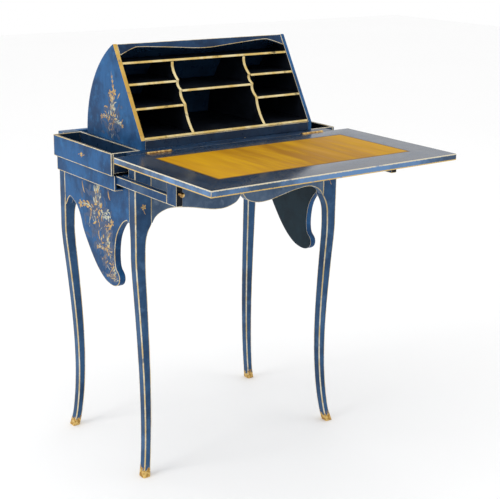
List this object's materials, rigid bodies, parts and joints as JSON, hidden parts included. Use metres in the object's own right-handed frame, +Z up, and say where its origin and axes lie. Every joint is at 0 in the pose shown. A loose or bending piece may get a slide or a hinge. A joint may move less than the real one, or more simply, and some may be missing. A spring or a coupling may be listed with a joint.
{
  "type": "secretary desk",
  "caption": "Painted writing table on cabriole legs: a flap folds forward onto sliding lopers and a curved nest of pigeonholes turns up behind it, between open side wells.",
  "frame": {"origin": "middle of the bounding box's base, on the floor, with the flap open and the lopers out", "axes": "+X to the writer's right, +Y to the back, +Z up"},
  "size_m": [0.6454, 0.6922, 0.959],
  "materials": {
    "blue_paint": "worn antique blue paint over wood, rubbed at the edges, with gilt lines and sprays",
    "navy_paint": "dark navy paint, satin, rubbed",
    "ink_paint": "near-black paint with gilt front edges",
    "gold_panel": "golden yellow panel with soft streaks from front to back",
    "beech": "bare waxed wood",
    "brass": "aged polished brass",
    "steel": "plain turned steel"
  },
  "bodies": {
    "case": {"leg_front_left": "blue_paint", "leg_back_left": "blue_paint", "leg_front_right": "blue_paint", "leg_back_right": "blue_paint", "front_apron": "blue_paint", "back_board": "blue_paint", "side_board_left": "blue_paint", "side_board_right": "blue_paint", "hinge_ledge": "navy_paint", "front_cross_rail": "beech", "pivot_block_left": "beech", "nest_pivot_pin_left": "steel", "pivot_block_right": "beech", "nest_pivot_pin_right": "steel", "hinge_leaf_ledge_left": "brass", "hinge_pin_left": "brass", "hinge_leaf_ledge_right": "brass", "hinge_pin_right": "brass", "well_cheek_left": "navy_paint", "well_outer_wall_left": "blue_paint", "well_floor_left": "ink_paint", "well_front_wall_left": "navy_paint", "well_back_wall_left": "navy_paint", "loper_housing_left": "blue_paint", "well_cheek_right": "navy_paint", "well_outer_wall_right": "blue_paint", "well_floor_right": "ink_paint", "well_front_wall_right": "navy_paint", "well_back_wall_right": "navy_paint", "loper_housing_right": "blue_paint", "loper_runner_left": "beech", "loper_runner_right": "beech"},
    "flap": {"flap_board": "navy_paint", "writing_panel": "gold_panel", "hinge_leaf_flap_left": "brass", "hinge_leaf_flap_right": "brass"},
    "nest": {"nest_side_left": "blue_paint", "nest_side_right": "blue_paint", "nest_back_shell": "navy_paint", "nest_base": "navy_paint", "nest_valance": "navy_paint", "nest_top_shelf": "ink_paint", "nest_floor": "ink_paint", "nest_divider_left": "ink_paint", "nest_shelf_left_lower": "ink_paint", "nest_shelf_left_upper": "ink_paint", "nest_divider_right": "ink_paint", "nest_shelf_right_lower": "ink_paint", "nest_shelf_right_upper": "ink_paint", "nest_shelf_centre": "ink_paint"},
    "loper_left": {"loper_bar_left": "blue_paint", "loper_stop_pin_left": "steel", "loper_head_left": "blue_paint", "loper_knob_left": "brass"},
    "loper_right": {"loper_bar_right": "blue_paint", "loper_stop_pin_right": "steel", "loper_head_right": "blue_paint", "loper_knob_right": "brass"}
  },
  "joints": [
    {"name": "flap_hinge", "type": "hinge", "parent": "case", "child": "flap", "pos_m": [0, 0.0129, 0.743], "axis": [-1, 0, 0], "range_deg": [0, 180]},
    {"name": "nest_tilt", "type": "hinge", "parent": "case", "child": "nest", "pos_m": [0, 0.0378, 0.719], "axis": [-1, 0, 0], "range_deg": [0, 60]},
    {"name": "loper_left_slide", "type": "slide", "parent": "case", "child": "loper_left", "axis": [0, 1, 0], "range_m": [0, 0.2]},
    {"name": "loper_right_slide", "type": "slide", "parent": "case", "child": "loper_right", "axis": [0, 1, 0], "range_m": [0, 0.2]}
  ],
  "couplings": [
    {"joint": "nest_tilt", "follows": "flap_hinge", "ratio": 0.3333}
  ]
}
